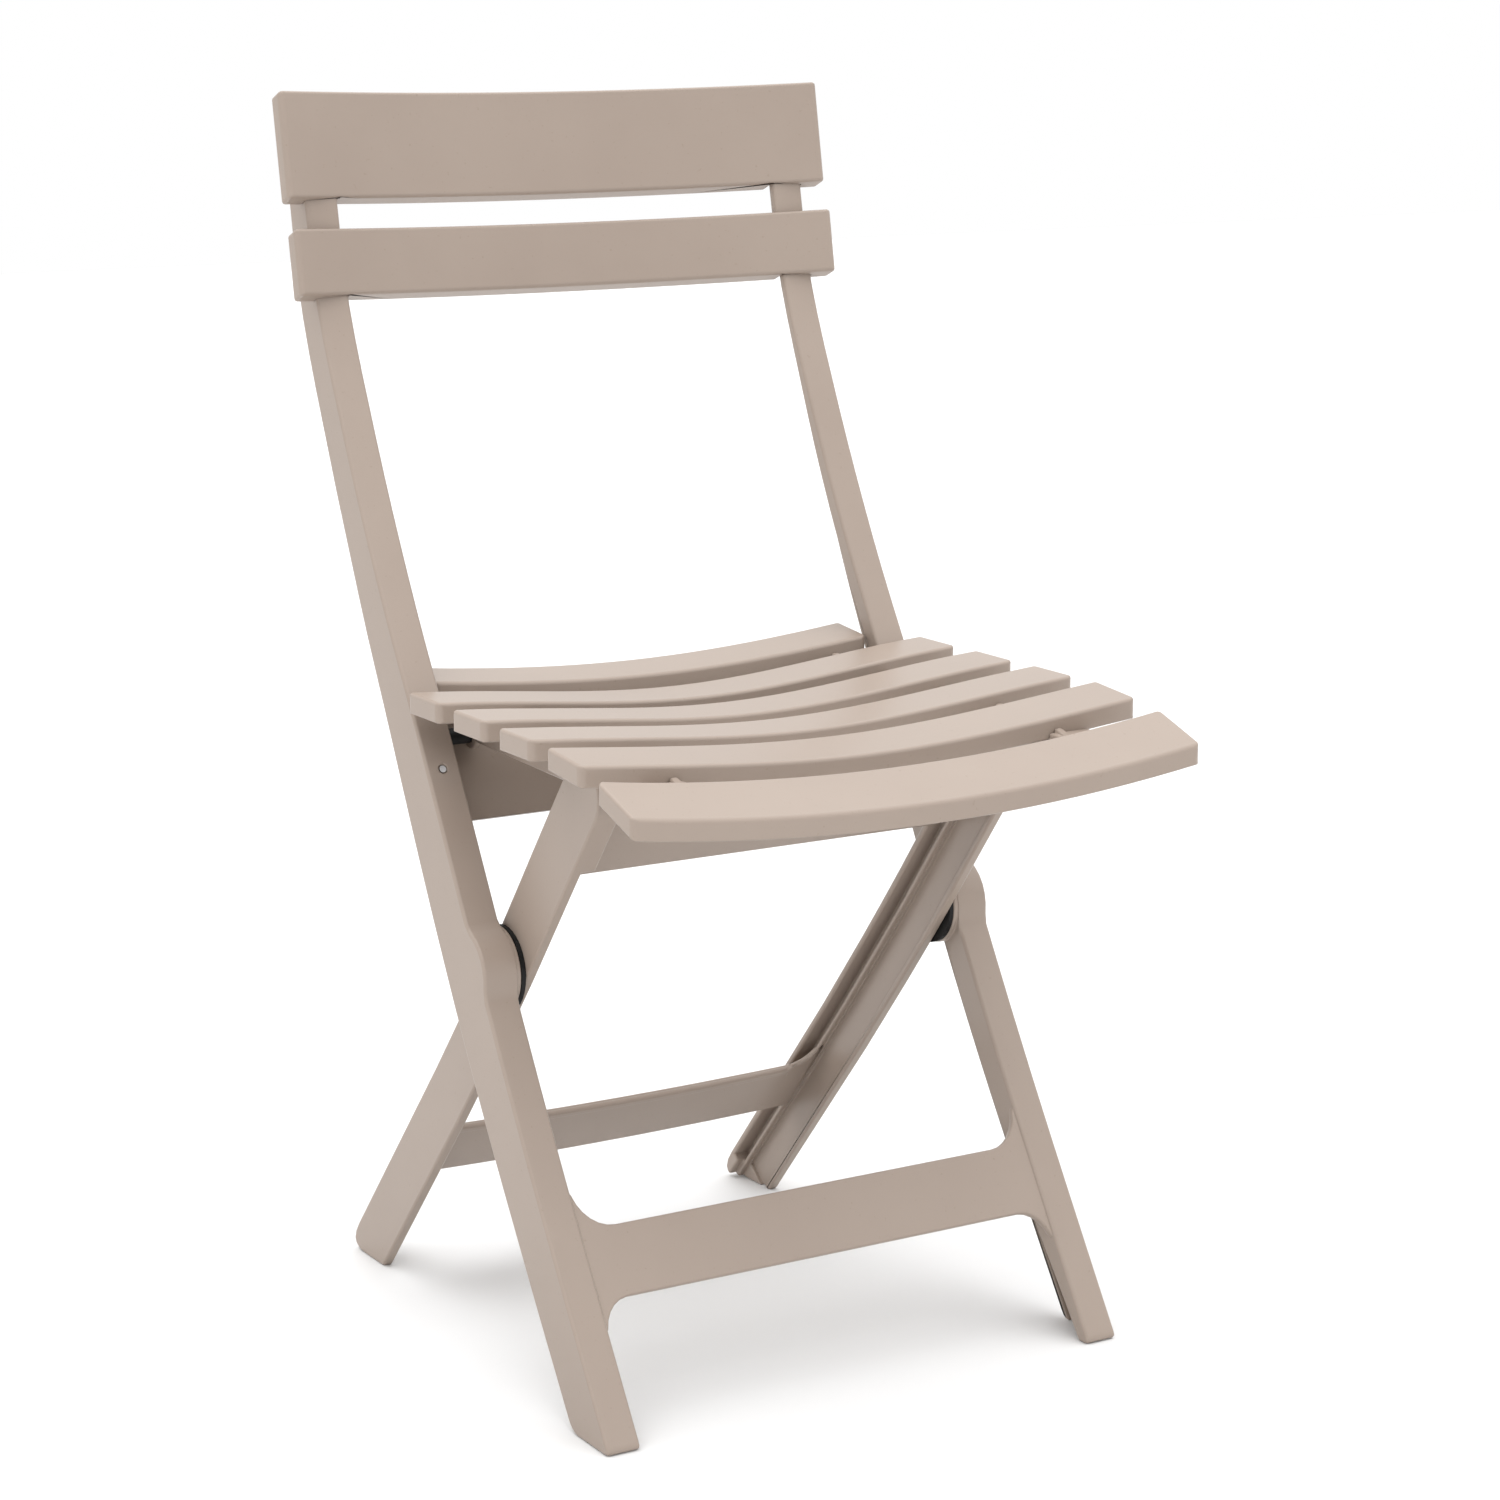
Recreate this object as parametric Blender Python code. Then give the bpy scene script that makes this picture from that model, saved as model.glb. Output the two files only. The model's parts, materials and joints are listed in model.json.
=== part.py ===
"""Folding garden chair in moulded resin, modelled as separate solids.

Metres, +Z up. The chair faces -Y and stands on the plane Z = 0. X = 0 is its middle plane.
The main frame carries a leg frame on two hub pins. The seat is hinged to the top of the leg frame,
and its rear end slides up the channels of the main frame as the chair folds.
"""
import math

import bpy
import bmesh
from mathutils import Matrix, Vector

# ---- overall sizes ----
STILE_OUTER = 0.1970          # half width over the outer faces of the two stiles
SEAT_TOP = 0.4450             # height of the seat at the ends of its slats
BACK_TOP = 0.8300             # height of the front top edge of the backrest
CLEAR = 0.0003                # gap between pieces that touch

# ---- joints, as (y, z) in the side view ----
HUB = (0.0000, 0.2685)        # leg frame on main frame
HINGE_Y = -0.1045             # seat on leg frame
HINGE_UNDER = 0.0184          # rounded top of the legs below the seat's top
SLIDE_DROP = 0.0250           # slide pins below the seat, measured at the stile's front edge
SLIDE_DEPTH = 0.0260          # slide pins behind the stile's front edge

# ---- stiles ----
STILE_FACE = 0.0240           # width of the front face
STILE_WALL = 0.0050
STILE_FLANGE = 0.0090         # width of the flange along the rear edge
STILE_FLANGE_WALL = 0.0040
STILE_TOP_DROP = 0.0130       # top of the stiles below the top of the backrest
STILE_FRONT = ((-0.040, -0.2160), (0.000, -0.1904), (0.180, -0.0758), (0.300, -0.0050),
               (0.420, 0.0640), (0.500, 0.1120), (0.600, 0.1640))
STILE_DEPTH = ((-0.040, 0.0400), (0.000, 0.0410), (0.100, 0.0440), (0.270, 0.0470), (0.390, 0.0435),
               (0.470, 0.0380), (0.550, 0.0330), (0.680, 0.0290), (0.820, 0.0270))
STILE_LIP = ((-0.040, 0.0090), (0.000, 0.0100), (0.080, 0.0180), (0.160, 0.0220), (0.330, 0.0210),
             (0.400, 0.0150), (0.560, 0.0110), (0.660, 0.0070), (0.820, 0.0070))
FOOT_TOE_ROUND = 0.0040
FOOT_HEEL_ROUND = 0.0220

# ---- hub ----
HUB_RADIUS = 0.0300
HUB_BLEND = 0.0040            # softness of the hollow where the hub meets the stile
HUB_BOSS = 0.0130
HUB_CHEEK = 0.0034            # how far the stile's hub stands out towards the leg
HUB_PIN = 0.0070
HUB_PIN_BLIND = 0.0070        # material left between the pin and the outer face
HUB_PIN_LEG_BLIND = 0.0010    # material left between the pin and the leg's inner face
WASHER_RADIUS = 0.0285
WASHER_THICK = 0.0030

# ---- backrest ----
BACK_TILT = math.radians(10.2)
BACK_DRAW = math.radians(23.0)                # downward slope of the slats' rims, front to rear
BACK_HALF_WIDTH = STILE_OUTER + 0.0157
BACK_FRONT_AT_TOP = 0.2217    # y of the front top edge, at the ends of the top slat
BACK_STILE_STEP = 0.0095      # stile front behind the slat front, at the ends of the slats
BACK_STILE_STEP_LOW = 0.0075  # the same under the lower slat
LOWER_SLAT_FORWARD = 0.0045   # front of the lower slat before the line of the top slat
BACK_HOLLOW = 0.0250          # how far the middle of a slat lies behind its ends
BACK_DEPTH = 0.0145
BACK_WALL = 0.0035
NOTCH_PAST = 0.0150           # how far the notches for the stiles run past the slats
TOP_SLAT_HEIGHT = 0.0720
LOWER_SLAT_HEIGHT = 0.0450
BACK_GAP = 0.0197

# ---- panels between the stiles ----
PANEL_TOP = 0.1223
PANEL_BOTTOM = 0.0826
PANEL_FILLET_TOP = 0.0260
PANEL_FILLET_BOTTOM = 0.0210
PANEL_WALL = 0.0050
PANEL_STEP = 0.0015           # front lower panel behind the stile faces
CROSS_BOTTOM = SEAT_TOP - 0.0945
CROSS_TOP = SEAT_TOP - 0.0270
CROSS_WALL = 0.0045

# ---- leg frame ----
LEG_UPPER_SHARE = 0.600       # place of the upper bend, from the hub to the hinge
LEG_LOWER = ((0.0714, 0.1810), (0.1380, 0.1030), (0.2028, 0.0290), (0.2460, -0.0200))
LEG_HALF_TOP = 0.0226
LEG_HALF_FOOT = 0.0218
LEG_WALL = 0.0050
LEG_REAR_FLANGE = 0.0175      # depth in x of the flange along the rear edge
LEG_RIB = 0.0120
LEG_FRONT_FLANGE = 0.0078
LEG_FLANGE_WALL = 0.0045
LEG_RIB_WALL = 0.0035
LEG_RIB_OFFSET = 0.0085       # middle rib behind the centre line
LEG_CHANNEL_START = 0.075     # shares of the leg's length
LEG_CHANNEL_END = 0.930
LEG_RIB_START = 0.0935
RAIL_TOP = 0.1195
RAIL_BOTTOM = 0.0775
RAIL_WALL = 0.0040
RAIL_SAG = 0.0035
RAIL_FILLET = 0.0180
RAIL_LEDGE = 0.0030           # how far the rim along the rail's upper edge stands forward
RAIL_LEDGE_HEIGHT = 0.0050
APRON_TOP = SEAT_TOP - 0.0620
APRON_BOTTOM = SEAT_TOP - 0.1115
APRON_SAG = 0.0005
APRON_FILLET = 0.0060

# ---- seat ----
SLAT_HALF_REAR = STILE_OUTER + 0.0055         # half width at slat 2
SLAT_HALF_FRONT = STILE_OUTER + 0.0125        # half width at slat 6
SLAT_HEIGHT = 0.0140
SLAT_WALL = 0.0035
SLAT_SAG = (0.0110, 0.0155, 0.0155, 0.0150, 0.0148, 0.0148)
SLAT_WAVE = (0.10, 0.60, 0.60, 0.50, 0.30, 0.00)       # share of a wave in each slat's dish
SLAT_WIDTH = 0.0445
SLAT_PITCH = 0.0671
SLAT_2_GAP = 0.0058           # between slat 2 and the stile faces
SLAT_1_WIDTH = 0.0380
SLAT_1_GAP = 0.0230           # between slats 1 and 2
SLAT_1_SIDE_GAP = 0.0010
SLAT_1_RISE = 0.0040          # rear edge of slat 1 above its front edge
SLAT_5_DROP = 0.0040
SLAT_6_REAR_DROP = 0.0080
SLAT_6_FRONT_DROP = 0.0230
SEAT_RAIL_WALL = 0.0060
SEAT_RAIL_GAP = 0.0015        # between seat rail and leg flange
SEAT_RAIL_REAR_DROP = 0.0420  # lower edge of the rail below the seat, at the rear
SEAT_RAIL_FRONT_DROP = 0.0490
SEAT_RAIL_FRONT = -0.2120
SEAT_RAIL_RISE = 0.55          # share of the slat height that the rail rises into the gaps
BRIDGE_IN = 0.0040            # bridges between slats 5 and 6, past the inner face of the seat rail
BRIDGE_OUT = 0.0210           # and past its outer face
BRIDGE_DROP = 0.0040          # top of a bridge below the slats beside it
HINGE_LUG = 0.0190
SLIDE_LUG = 0.0100
HINGE_PIN = 0.0050
HINGE_PIN_BLIND = 0.0020      # material left between the pin and the outer face of the leg
PIN_END = 0.0020              # how far the pins stand out of the seat rails
SLIDE_PIN = 0.0040
SLIDE_SIDE_GAP = 0.0010       # beside the slide shoe and the spacer
SHOE_RADIUS = 0.0070
SPACER_RADIUS = 0.0056
STOP_LENGTH = 0.0440
STOP_WIDTH = 0.0150
SCREW_RADIUS = 0.0016
SCREW_HEAD = 0.0024
SCREW_HEAD_THICK = 0.0012
SCREW_SEAT = 0.0020           # depth of the recess that the screw head lies in
SCREW_SEAT_GAP = 0.0008       # between the screw head and the wall of its recess
SCREW_LENGTH = 0.0180

OVERLAP = 0.0010              # how far joined shapes reach into each other
ROUND_STEPS = 20
STILE_STEP = 0.0220
SLAT_STEPS = 22

RESIN = ("resin", (0.48, 0.39, 0.32), 0.55, 0.0)
BLACK = ("black_nylon", (0.012, 0.012, 0.012), 0.45, 0.0)
STEEL = ("steel", (0.60, 0.60, 0.60), 0.35, 1.0)


# ---- values worked out from the sizes ----
STILE_INNER = STILE_OUTER - STILE_FACE
LEG_OUTER = STILE_INNER - HUB_CHEEK - WASHER_THICK - 2 * CLEAR
LEG_INNER = LEG_OUTER - LEG_REAR_FLANGE
LEG_PLATE = LEG_OUTER - LEG_WALL
SEAT_RAIL_OUTER = LEG_INNER - SEAT_RAIL_GAP
SEAT_RAIL_INNER = SEAT_RAIL_OUTER - SEAT_RAIL_WALL
BRIDGE_INNER = SEAT_RAIL_INNER - BRIDGE_IN
BRIDGE_OUTER = SEAT_RAIL_OUTER + BRIDGE_OUT
HINGE = (HINGE_Y, SEAT_TOP - HINGE_UNDER - LEG_HALF_TOP)


def smooth_value(points, at):
    """Value of a smooth curve through (position, value) pairs."""
    spans = list(zip(points, points[1:]))
    slopes = [(b[1] - a[1]) / (b[0] - a[0]) for a, b in spans]
    index = max(0, min(len(spans) - 1, sum(1 for p in points[1:-1] if p[0] <= at)))
    (x0, y0), (x1, y1) = spans[index]
    before = slopes[max(index - 1, 0)]
    after = slopes[min(index + 1, len(slopes) - 1)]
    m0 = 0.5 * (before + slopes[index])
    m1 = 0.5 * (after + slopes[index])
    h = x1 - x0
    t = (at - x0) / h
    return ((2 * t**3 - 3 * t**2 + 1) * y0 + (t**3 - 2 * t**2 + t) * h * m0
            + (-2 * t**3 + 3 * t**2) * y1 + (t**3 - t**2) * h * m1)


def back_line(z):
    """y of the backrest's front plane at height z, at the ends of the slats."""
    return BACK_FRONT_AT_TOP - (BACK_TOP - z) * math.tan(BACK_TILT)


def slat_bottom_z(top_z, height):
    return top_z - height * math.cos(BACK_TILT)


TOP_SLAT_BOTTOM = slat_bottom_z(BACK_TOP, TOP_SLAT_HEIGHT)
LOWER_SLAT_TOP = TOP_SLAT_BOTTOM - BACK_GAP
LOWER_SLAT_BOTTOM = slat_bottom_z(LOWER_SLAT_TOP, LOWER_SLAT_HEIGHT)
STILE_TOP = BACK_TOP - STILE_TOP_DROP


def stile_points():
    """Front edge of the stile: its lower run, then the run behind the backrest."""
    low = (LOWER_SLAT_BOTTOM, back_line(LOWER_SLAT_BOTTOM) + BACK_STILE_STEP_LOW)
    upper = [(z, back_line(z) + BACK_STILE_STEP) for z in (LOWER_SLAT_TOP, BACK_TOP)]
    return (*STILE_FRONT, low, *upper)


STILE_LINE = stile_points()
LEG_CENTRE = (HINGE,
              tuple(h + LEG_UPPER_SHARE * (e - h) for h, e in zip(HUB, HINGE)),
              HUB, *LEG_LOWER)


def stile_slope(z):
    step = 0.004
    return (smooth_value(STILE_LINE, z + step) - smooth_value(STILE_LINE, z - step)) / (2 * step)


def stile_point(z, depth):
    """Point at a depth behind the front edge, square to the edge."""
    angle = math.atan(stile_slope(z))
    y = smooth_value(STILE_LINE, z)
    return (y + depth * math.cos(angle), z - depth * math.sin(angle))


SLIDE = stile_point(SEAT_TOP - SLIDE_DROP, SLIDE_DEPTH)


def hub_rise(z):
    """How far the hub stands in front of the stile's front edge at height z."""
    angle = math.atan(stile_slope(z))
    y = smooth_value(STILE_LINE, z)
    along = (y - HUB[0]) * math.sin(angle) + (z - HUB[1]) * math.cos(angle)
    behind = (HUB[0] - y) * math.cos(angle) - (HUB[1] - z) * math.sin(angle)
    if abs(along) >= HUB_RADIUS:
        return 0.0
    rise = math.sqrt(HUB_RADIUS**2 - along**2) - behind
    return max(0.0, 0.5 * (rise + math.sqrt(rise**2 + HUB_BLEND**2)) - 0.2 * HUB_BLEND)


def stile_heights(low, high):
    """Heights of the stations along a stile, closer together at the hub."""
    count = max(4, round((high - low) / STILE_STEP))
    coarse = [low + (high - low) * i / count for i in range(count + 1)]
    hub_low = HUB[1] - 1.2 * HUB_RADIUS
    hub_high = HUB[1] + 1.5 * HUB_RADIUS
    fine = [hub_low + (hub_high - hub_low) * i / 14 for i in range(15)]
    margin = 0.2 * HUB_RADIUS
    kept = [z for z in coarse if z < hub_low - margin or z > hub_high + margin]
    return sorted(kept + [z for z in fine if low < z < high])


def clip_above(points, floor):
    """The part of a closed outline above a height."""
    kept = []
    for index, point in enumerate(points):
        last = points[index - 1]
        if (last[1] >= floor) != (point[1] >= floor):
            t = (floor - last[1]) / (point[1] - last[1])
            kept.append((last[0] + t * (point[0] - last[0]), floor))
        if point[1] >= floor:
            kept.append(point)
    return kept


def round_corner(points, index, radius, steps=5):
    """Swaps one corner of an outline for an arc."""
    corner = Vector(points[index])
    before = (Vector(points[index - 1]) - corner)
    after = (Vector(points[(index + 1) % len(points)]) - corner)
    half = 0.5 * before.angle(after)
    cut = min(radius / math.tan(half), 0.9 * before.length, 0.9 * after.length)
    start = corner + before.normalized() * cut
    end = corner + after.normalized() * cut
    arc = []
    for i in range(steps + 1):
        t = i / steps
        point = (1 - t)**2 * start + 2 * t * (1 - t) * corner + t**2 * end
        arc.append((point.x, point.y))
    return points[:index] + arc + points[index + 1:]


def lowest_corners(points):
    """Indices of the two corners of an outline that lie on its foot, toe first."""
    floor = min(p[1] for p in points)
    low = [i for i, p in enumerate(points) if abs(p[1] - floor) < 1e-6]
    return sorted(low, key=lambda i: points[i][0])


def round_feet(points, toe, heel):
    """Rounds both corners of a sole."""
    for pick, radius in ((0, toe), (-1, heel)):
        index = lowest_corners(points)[pick]
        points = round_corner(points, index, radius)
    return points


# ---- solids ----
def finish_mesh(name, bm):
    bmesh.ops.recalc_face_normals(bm, faces=bm.faces)
    mesh = bpy.data.meshes.new(name)
    bm.to_mesh(mesh)
    bm.free()
    obj = bpy.data.objects.new(name, mesh)
    bpy.context.scene.collection.objects.link(obj)
    return obj


def loft(name, loops):
    """Closed solid through a row of loops with the same number of points."""
    bm = bmesh.new()
    rings = [[bm.verts.new(point) for point in loop] for loop in loops]
    count = len(rings[0])
    for a, b in zip(rings, rings[1:]):
        for i in range(count):
            j = (i + 1) % count
            bm.faces.new((a[i], a[j], b[j], b[i]))
    bm.faces.new(rings[0])
    bm.faces.new(reversed(rings[-1]))
    return finish_mesh(name, bm)


def prism(name, outline, x0, x1):
    """Side-view outline run from x0 to x1."""
    return loft(name, [[(x, y, z) for y, z in outline] for x in (x0, x1)])


def pin(name, at, radius, x0, x1, steps=ROUND_STEPS):
    """Round bar along X through a point of the side view."""
    turn = [2 * math.pi * i / steps for i in range(steps)]
    outline = [(at[0] + radius * math.cos(a), at[1] + radius * math.sin(a)) for a in turn]
    return prism(name, outline, x0, x1)


def combine(target, tools, operation):
    """Joins tools to the target, or cuts them out of it, and removes them."""
    for tool in tools:
        modifier = target.modifiers.new("combine", "BOOLEAN")
        modifier.operation = operation
        modifier.solver = "EXACT"
        modifier.object = tool
    bpy.context.view_layer.update()
    depsgraph = bpy.context.evaluated_depsgraph_get()
    result = bpy.data.meshes.new_from_object(target.evaluated_get(depsgraph))
    target.modifiers.clear()
    target.data = result
    for tool in tools:
        bpy.data.objects.remove(tool)
    return target


def cut(target, *tools):
    return combine(target, tools, "DIFFERENCE")


def join(target, *tools):
    return combine(target, tools, "UNION")


# ---- materials ----
def material(spec):
    name, colour, roughness, metallic = spec
    found = bpy.data.materials.get(name)
    if found:
        return found
    made = bpy.data.materials.new(name)
    made.use_nodes = True
    shader = made.node_tree.nodes["Principled BSDF"]
    shader.inputs["Base Color"].default_value = (*colour, 1.0)
    shader.inputs["Roughness"].default_value = roughness
    shader.inputs["Metallic"].default_value = metallic
    return made


def place(obj, spec, parent=None, smooth=False):
    """Gives a piece its material and its parent, with the parent's place taken off its mesh."""
    obj.data.materials.clear()
    obj.data.materials.append(material(spec))
    if parent:
        obj.data.transform(Matrix.Translation(-parent.location))
        obj.parent = parent
    if smooth:
        obj.data.shade_smooth()
        obj.data.set_sharp_from_angle(angle=math.radians(35))
    return obj


def pivot(name, at):
    empty = bpy.data.objects.new(name, None)
    empty.location = (0.0, at[0], at[1])
    bpy.context.scene.collection.objects.link(empty)
    return empty


# ---- main frame ----
def stile_band(name, inner, outer, x0, x1, low, high):
    """Prism that follows the stile between two depths, each a function of height."""
    heights = stile_heights(low, high)
    outline = [stile_point(z, inner(z)) for z in heights]
    outline += [stile_point(z, outer(z)) for z in reversed(heights)]
    return prism(name, outline, x0, x1)


def stile_outline():
    heights = stile_heights(-0.035, STILE_TOP)
    outline = [stile_point(z, -hub_rise(z)) for z in heights]
    outline += [stile_point(z, smooth_value(STILE_DEPTH, z)) for z in reversed(heights)]
    return round_feet(clip_above(outline, 0.0), FOOT_TOE_ROUND, FOOT_HEEL_ROUND)


def build_stile(name):
    """Channel with a front face, an outer wall, a low inner wall and a rear flange."""
    stile = prism(name, stile_outline(), STILE_INNER, STILE_OUTER)
    low, high = -0.038, BACK_TOP + 0.010
    past = 0.010

    def front(z):
        return STILE_WALL - hub_rise(z)

    def beyond(z):
        return smooth_value(STILE_DEPTH, z) + past

    def before_flange(z):
        return smooth_value(STILE_DEPTH, z) - STILE_FLANGE_WALL

    def lip(z):
        return smooth_value(STILE_LIP, z)

    inner_wall = STILE_INNER + STILE_FLANGE_WALL
    outer_wall = STILE_OUTER - STILE_WALL
    flange = STILE_OUTER - STILE_FLANGE
    cut(stile,
        stile_band("open", front, beyond, inner_wall, flange, low, high),
        stile_band("under_flange", front, before_flange, flange - OVERLAP, outer_wall, low, high),
        stile_band("inside", lip, beyond, STILE_INNER - past, inner_wall + OVERLAP, low, high))
    join(stile,
         pin("boss", HUB, HUB_BOSS, STILE_INNER, outer_wall + OVERLAP),
         pin("cheek", HUB, HUB_RADIUS - OVERLAP, STILE_INNER - HUB_CHEEK, inner_wall + 0.5 * OVERLAP, 40))
    cut(stile, pin("hub_hole", HUB, HUB_PIN + CLEAR, STILE_INNER - past, STILE_OUTER - HUB_PIN_BLIND))
    return stile


def stop_place():
    """Side-view place and direction of the stop under the slide shoe."""
    angle = math.atan(stile_slope(SLIDE[1]))
    down = Vector((-math.sin(angle), -math.cos(angle)))
    centre = Vector(SLIDE) + down * (SHOE_RADIUS + CLEAR + 0.5 * STOP_LENGTH)
    return centre, down


def build_stop(name):
    """Block in the stile channel that the slide shoe rests on."""
    centre, down = stop_place()
    across = Vector((down.y, -down.x))
    corners = [centre + down * (0.5 * STOP_LENGTH * a) + across * (0.5 * STOP_WIDTH * b)
               for a, b in ((-1, -1), (1, -1), (1, 1), (-1, 1))]
    x0 = STILE_INNER + STILE_FLANGE_WALL + CLEAR
    x1 = STILE_OUTER - STILE_WALL - CLEAR
    block = prism(name, [tuple(c) for c in corners], x0, x1)
    return cut(block, screw_bar("stop_hole", SCREW_RADIUS + CLEAR, -0.001, SCREW_LENGTH + CLEAR))


def screw_frame():
    """Point on the stile face in line with the stop, and the direction into the stile."""
    centre, down = stop_place()
    inward = Vector((-down.y, down.x))
    height = centre.y
    for _ in range(8):
        face = Vector(stile_point(height, 0.0))
        height += (centre - face).dot(-down)
    face = Vector(stile_point(height, 0.0))
    return face, inward


def screw_bar(name, radius, start, end):
    """Round bar that goes into the stile face, from one depth to another."""
    face, inward = screw_frame()
    axis = Vector((0.0, inward.x, inward.y))
    across = Vector((1.0, 0.0, 0.0))
    up = axis.cross(across)
    middle_x = 0.5 * (STILE_INNER + STILE_OUTER)
    loops = []
    for depth in (start, end):
        centre = Vector((middle_x, face.x, face.y)) + axis * depth
        turn = [2 * math.pi * i / 16 for i in range(16)]
        loops.append([tuple(centre + radius * (across * math.cos(a) + up * math.sin(a))) for a in turn])
    return loft(name, loops)


def build_screw(name):
    screw = screw_bar(name, SCREW_RADIUS, SCREW_SEAT - 0.5 * SCREW_HEAD_THICK, SCREW_LENGTH)
    head = screw_bar("head", SCREW_HEAD, SCREW_SEAT - SCREW_HEAD_THICK - CLEAR, SCREW_SEAT - CLEAR)
    return join(screw, head)


def screw_holes(stile):
    """Clearance hole and head seat for the stop screw."""
    return cut(stile,
               screw_bar("hole", SCREW_RADIUS + CLEAR, -0.010, STILE_WALL + 0.004),
               screw_bar("seat", SCREW_HEAD + SCREW_SEAT_GAP, -0.010, SCREW_SEAT))


def back_slat_loops(top_z, height, forward, front, rear, side_in, edge_in):
    """Loops along x for a backrest slat, curved back at its middle."""
    normal = Vector((math.cos(BACK_DRAW), -math.sin(BACK_DRAW)))
    down = Vector((-math.sin(BACK_TILT), -math.cos(BACK_TILT)))
    corner = Vector((back_line(top_z) - forward, top_z))
    half = BACK_HALF_WIDTH - side_in
    loops = []
    for i in range(SLAT_STEPS + 1):
        x = -half + 2 * half * i / SLAT_STEPS
        hollow = Vector((math.cos(BACK_TILT), -math.sin(BACK_TILT)))
        hollow *= BACK_HOLLOW * (1 - (x / BACK_HALF_WIDTH)**2)
        points = []
        for depth, run in ((front, edge_in), (rear, edge_in), (rear, height - edge_in),
                           (front, height - edge_in)):
            point = corner + normal * depth + hollow + down * run
            points.append((x, point.x, point.y))
        loops.append(points)
    return loops


def build_back_slat(name, top_z, height, forward):
    """Shell with a curved front, open at the back, notched over the stiles."""
    slat = loft(name, back_slat_loops(top_z, height, forward, 0.0, BACK_DEPTH, 0.0, 0.0))
    hollow = loft("hollow", back_slat_loops(top_z, height, forward, BACK_WALL, BACK_DEPTH + 0.010,
                                            BACK_WALL, BACK_WALL))
    cut(slat, hollow)
    low = slat_bottom_z(top_z, height) - NOTCH_PAST
    high = min(top_z + NOTCH_PAST, STILE_TOP + CLEAR)
    for side in (-1, 1):
        cut(slat, stile_band("notch", lambda z: -CLEAR, lambda z: 3 * BACK_DEPTH,
                             side * (STILE_INNER - CLEAR), side * (STILE_OUTER + CLEAR), low, high))
    return slat


def fillet_rise(x, half, radius):
    """Height that a fillet adds at x, for a bar that ends at half."""
    into = max(0.0, abs(x) - (half - radius))
    return radius - math.sqrt(max(radius**2 - into**2, 0.0))


def bar_stations(half, radius, flat_steps=6, round_steps=5):
    inside = half - radius
    flat = [-inside + 2 * inside * i / flat_steps for i in range(flat_steps + 1)]
    ends = [inside + radius * math.sin(0.5 * math.pi * i / round_steps) for i in range(1, round_steps + 1)]
    return [-x for x in reversed(ends)] + flat + ends


def build_front_panel(name):
    """Flat panel between the stiles with filleted ends."""
    half = STILE_INNER - CLEAR
    loops = []
    for x in bar_stations(half, PANEL_FILLET_TOP, round_steps=7):
        low = PANEL_BOTTOM - fillet_rise(x, half, PANEL_FILLET_BOTTOM)
        high = PANEL_TOP + fillet_rise(x, half, PANEL_FILLET_TOP)
        corners = []
        for z, depth in ((low, PANEL_STEP), (high, PANEL_STEP),
                         (high, PANEL_STEP + PANEL_WALL), (low, PANEL_STEP + PANEL_WALL)):
            corners.append((x, *stile_point(z, depth)))
        loops.append(corners)
    return loft(name, loops)


def build_cross_panel(name):
    """Panel along the rear edges of the stiles, under the rear of the seat."""
    half = STILE_OUTER - STILE_FLANGE - CLEAR
    heights = [CROSS_BOTTOM + (CROSS_TOP - CROSS_BOTTOM) * i / 4 for i in range(5)]
    lift = 0.5 * (STILE_DEPTH[4][1]) * math.sin(math.atan(stile_slope(CROSS_BOTTOM)))
    stations = [z + 2 * lift for z in heights]
    outline = [stile_point(z, smooth_value(STILE_DEPTH, z) - CROSS_WALL) for z in stations]
    outline += [stile_point(z, smooth_value(STILE_DEPTH, z)) for z in reversed(stations)]
    return prism(name, outline, -half, half)


# ---- leg frame ----
def leg_station(t):
    """Centre and rearward normal of a leg at t from 0, the hinge, to 1, below the floor."""
    lengths = [0.0]
    for a, b in zip(LEG_CENTRE, LEG_CENTRE[1:]):
        lengths.append(lengths[-1] + math.dist(a, b))
    ys = tuple((s, p[0]) for s, p in zip(lengths, LEG_CENTRE))
    zs = tuple((s, p[1]) for s, p in zip(lengths, LEG_CENTRE))
    at = t * lengths[-1]
    step = 0.003
    centre = Vector((smooth_value(ys, at), smooth_value(zs, at)))
    ahead = Vector((smooth_value(ys, at + step), smooth_value(zs, at + step))) - centre
    ahead.normalize()
    return centre, Vector((-ahead.y, ahead.x))


def leg_point(t, offset):
    centre, normal = leg_station(t)
    point = centre + normal * offset
    return (point.x, point.y)


def leg_half(t):
    return LEG_HALF_TOP + (LEG_HALF_FOOT - LEG_HALF_TOP) * t


LEG_STEPS = 14


def leg_band(name, inner, outer, x0, x1, start, end):
    """Prism along a leg between two offsets from its centre line."""
    stations = [start + (end - start) * i / LEG_STEPS for i in range(LEG_STEPS + 1)]
    outline = [leg_point(t, inner(t)) for t in stations]
    outline += [leg_point(t, outer(t)) for t in reversed(stations)]
    return prism(name, outline, x0, x1)


def leg_outline():
    stations = [i / LEG_STEPS for i in range(LEG_STEPS + 1)]
    rear = [leg_point(t, leg_half(t)) for t in stations]
    front = [leg_point(t, -leg_half(t)) for t in reversed(stations)]
    centre, normal = leg_station(0.0)
    first = math.atan2(-normal.y, -normal.x)
    cap = []
    for i in range(1, 10):
        angle = first - math.pi * i / 10
        cap.append((centre.x + LEG_HALF_TOP * math.cos(angle), centre.y + LEG_HALF_TOP * math.sin(angle)))
    outline = clip_above(rear + front + cap, 0.0)
    return round_feet(outline, FOOT_TOE_ROUND, FOOT_HEEL_ROUND)


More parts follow.
